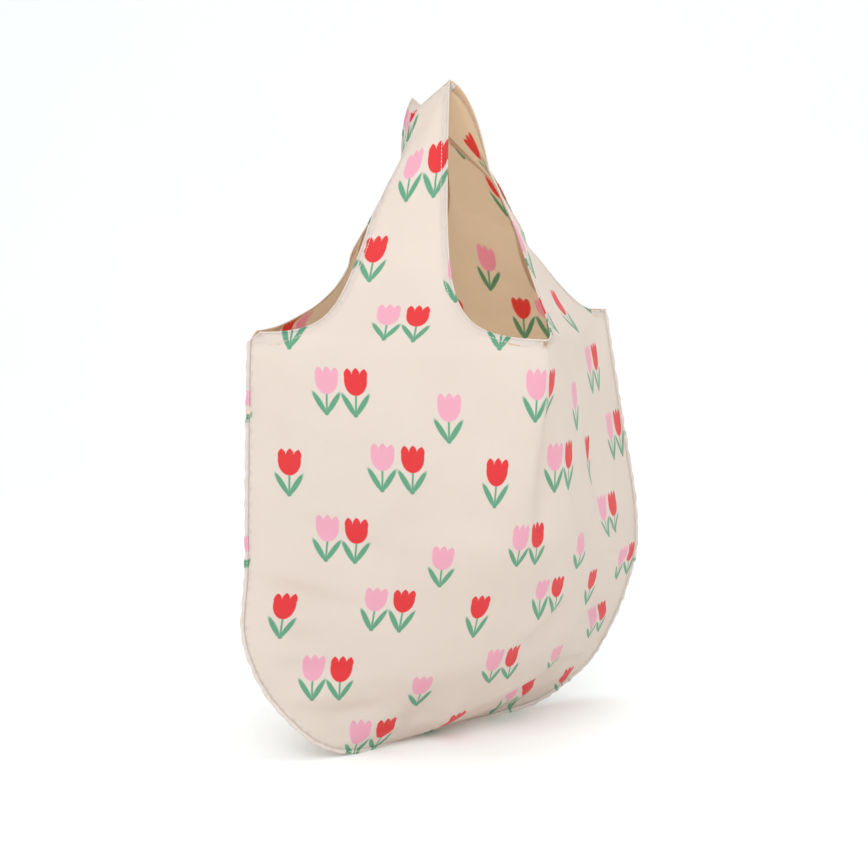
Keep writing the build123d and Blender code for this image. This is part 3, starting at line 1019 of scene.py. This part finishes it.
def plane_stitches(name, path, ys, material):
    """Rows of stitches along an x-z path, one row on each given y; the sign of y is the way the row faces."""
    path = resample(path, 0.003)
    along = units(np.gradient(path, axis=0))[1:-1] * 0.00115
    middle = path[1:-1]
    starts, ends, normals = [], [], []
    for y, facing in ys:
        for target, points in ((starts, middle - along), (ends, middle + along)):
            target.append(np.column_stack((points[:, 0], np.full(len(points), y), points[:, 1])))
        normals.append(np.repeat(np.array(((0.0, facing, 0.0),)), len(middle), axis=0))
    return stitch_mesh(name, np.vstack(starts), np.vstack(ends), np.vstack(normals), material, 0.00022)


def pocket_edge(centre_x, half, corner, low, top, inset):
    """The x-z path down one side of a pocket, round its bottom and up the other side."""
    half, bottom, corner = half - inset, low + inset, corner - inset
    angle = np.linspace(0, math.pi / 2, 16)
    left = np.column_stack((-half + corner - corner * np.cos(angle), bottom + corner - corner * np.sin(angle)))
    right = left[::-1] * np.array((-1, 1))
    path = np.vstack(((-half, top), left, right, (half, top)))
    return path + np.array((centre_x, 0))


def build_pouch():
    """The stow pocket on its tape inside the bag, with its flap; the snap keeps its CAD shape."""
    back_low, back_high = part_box("pouch_back")
    front_low, front_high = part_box("pouch_front")
    flap_low, flap_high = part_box("pouch_flap")
    centre_x = (back_low.x + back_high.x) / 2
    half = (back_high.x - back_low.x) / 2
    corner = 0.016
    for name, low, high, y, ripple in (
        ("pouch_back", back_low, back_high, 0.0015, 0.0004), ("pouch_front", front_low, front_high, -0.0013, -0.0002)
    ):
        heights = np.linspace(high.z - low.z, 0, 30)
        rows = [(y, low.z + height, height) for height in heights]
        cloth = pocket_cloth(name + "_cloth", rows, half, corner, centre_x, low.z, ripple)
        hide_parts(name)
        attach(cloth, "pouch")
    cord_path = resample(pocket_edge(centre_x, half, corner, back_low.z, front_high.z, 0.0006), 0.002)
    cord = tube("pouch_edge_cord", np.column_stack((cord_path[:, 0], np.full(len(cord_path), 0.0001), cord_path[:, 1])),
                0.0013, TAPE)
    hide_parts("pouch_seam")
    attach(cord, "pouch")
    edge = pocket_edge(centre_x, half, corner, back_low.z, front_high.z - 0.002, 0.0035)
    mouth = np.array(((centre_x - half + 0.003, front_high.z - 0.003), (centre_x + half - 0.003, front_high.z - 0.003)))
    for name, path, ys in (
        ("pouch_edge_stitching", edge, ((-0.00165, -1), (0.00175, 1))), ("pouch_mouth_stitching", mouth, ((-0.00165, -1),))
    ):
        thread = plane_stitches(name, path, ys, THREAD)
        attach(thread, "pouch")

    fold = [(0.0015, back_high.z - 0.004), (0.0015, back_high.z)]
    middle_y, reach = (0.0015 + flap_low.y) / 2 + 0.0001, (0.0015 - flap_low.y) / 2 - 0.0001
    fold += [(middle_y + reach * math.cos(a), back_high.z + 0.0016 * math.sin(a)) for a in np.linspace(0.3, 2.84, 8)]
    fold += [(flap_low.y + 0.0003, z) for z in np.linspace(flap_high.z + 0.001, flap_low.z, 18)]
    rows = [(y, z, z - flap_low.z) for y, z in fold]
    flap_half = (flap_high.x - flap_low.x) / 2
    flap = pocket_cloth("pouch_flap_cloth", rows, flap_half, 0.020, centre_x, flap_low.z, 0.0)
    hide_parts("pouch_flap")
    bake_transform(flap)
    flap_edge = pocket_edge(centre_x, flap_half, 0.020, flap_low.z, flap_high.z - 0.003, 0.003)
    thread = plane_stitches("pouch_flap_stitching", flap_edge, ((flap_low.y + 0.0001, -1),), THREAD)
    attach(thread, "pouch_flap")

    tape_low, tape_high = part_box("pouch_tape")
    section = ((-0.0005, tape_low.z), (0.0005, tape_low.z), (0.0005, tape_high.z), (-0.0005, tape_high.z))
    run = np.linspace(-0.1815, tape_high.x + 0.004, 40)
    points = [(x, y + 0.0004 * math.sin(260 * x), z) for x in run for y, z in section]
    tape = new_object("pouch_tape_ribbon", points, loop_faces(len(run), 4), [TAPE], smooth=False)
    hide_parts("pouch_tape")
    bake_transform(tape)
    for name in ("snap_stud", "snap_post", "snap_socket", "snap_cap"):
        node = frame["nodes"][name]
        if not node.material_slots:
            node.data.materials.append(SNAP)
        for place in node.material_slots:
            place.link = "OBJECT"
            place.material = SNAP


def build_stage_light_and_camera():
    size = 30.0
    floor_rows = [(-size, 0.0), (1.2, 0.0)]
    floor_rows += [(1.2 + 1.2 * math.sin(a), 1.2 - 1.2 * math.cos(a)) for a in np.linspace(0.1, math.pi / 2, 12)]
    floor_rows += [(2.4, size)]
    facing = math.radians(-31)
    points = []
    for run, height in floor_rows:
        for across in (-size, size):
            points.append((across * math.cos(facing) - run * math.sin(facing),
                           across * math.sin(facing) + run * math.cos(facing), height - 0.0006))
    faces = [(2 * i, 2 * i + 1, 2 * i + 3, 2 * i + 2) for i in range(len(floor_rows) - 1)]
    material, tree, shader = new_material("studio_floor")
    place = tree.nodes.new("ShaderNodeTexCoord")
    colour = mix_colour(tree, noise(tree, place.outputs["Object"], 3.0), rgb(250, 252, 251), rgb(247, 249, 248))
    tree.links.new(colour, shader.inputs["Base Color"])
    shader.inputs["Roughness"].default_value = 0.9
    new_object("studio_floor", points, faces, [material])
    world = bpy.data.worlds.new("studio")
    world.use_nodes = True
    world.node_tree.nodes["Background"].inputs[0].default_value = (0.97, 0.985, 1.0, 1)
    world.node_tree.nodes["Background"].inputs[1].default_value = 0.75
    bpy.context.scene.world = world
    target = Vector((0, 0, 0.27))
    for name, place, size, power in (
        ("key", (-1.5, -1.3, 1.5), 1.6, 26), ("fill", (1.6, -1.2, 1.0), 1.6, 11), ("top", (0.1, 0.2, 2.0), 1.8, 12)
    ):
        light = bpy.data.lights.new(name, "AREA")
        light.energy = power
        light.size = size
        lamp = bpy.data.objects.new(name, light)
        bpy.context.scene.collection.objects.link(lamp)
        lamp.location = place
        lamp.rotation_euler = (target - lamp.location).to_track_quat("-Z", "Y").to_euler()
    azimuth, elevation, distance = math.radians(-31), math.radians(8.6), 2.25
    aim = Vector((0, 0, 0.261))
    view = bpy.data.cameras.new("camera")
    view.lens = 108
    view.sensor_width = 36
    camera = bpy.data.objects.new("camera", view)
    bpy.context.scene.collection.objects.link(camera)
    camera.location = aim + distance * Vector((
        math.sin(azimuth) * math.cos(elevation), -math.cos(azimuth) * math.cos(elevation), math.sin(elevation)))
    camera.rotation_euler = (aim - camera.location).to_track_quat("-Z", "Y").to_euler()
    bpy.context.scene.camera = camera
    bpy.context.scene.view_settings.view_transform = "Standard"


panels = build_panels()
build_seam(panels)
build_joins()
build_pouch()
build_stage_light_and_camera()
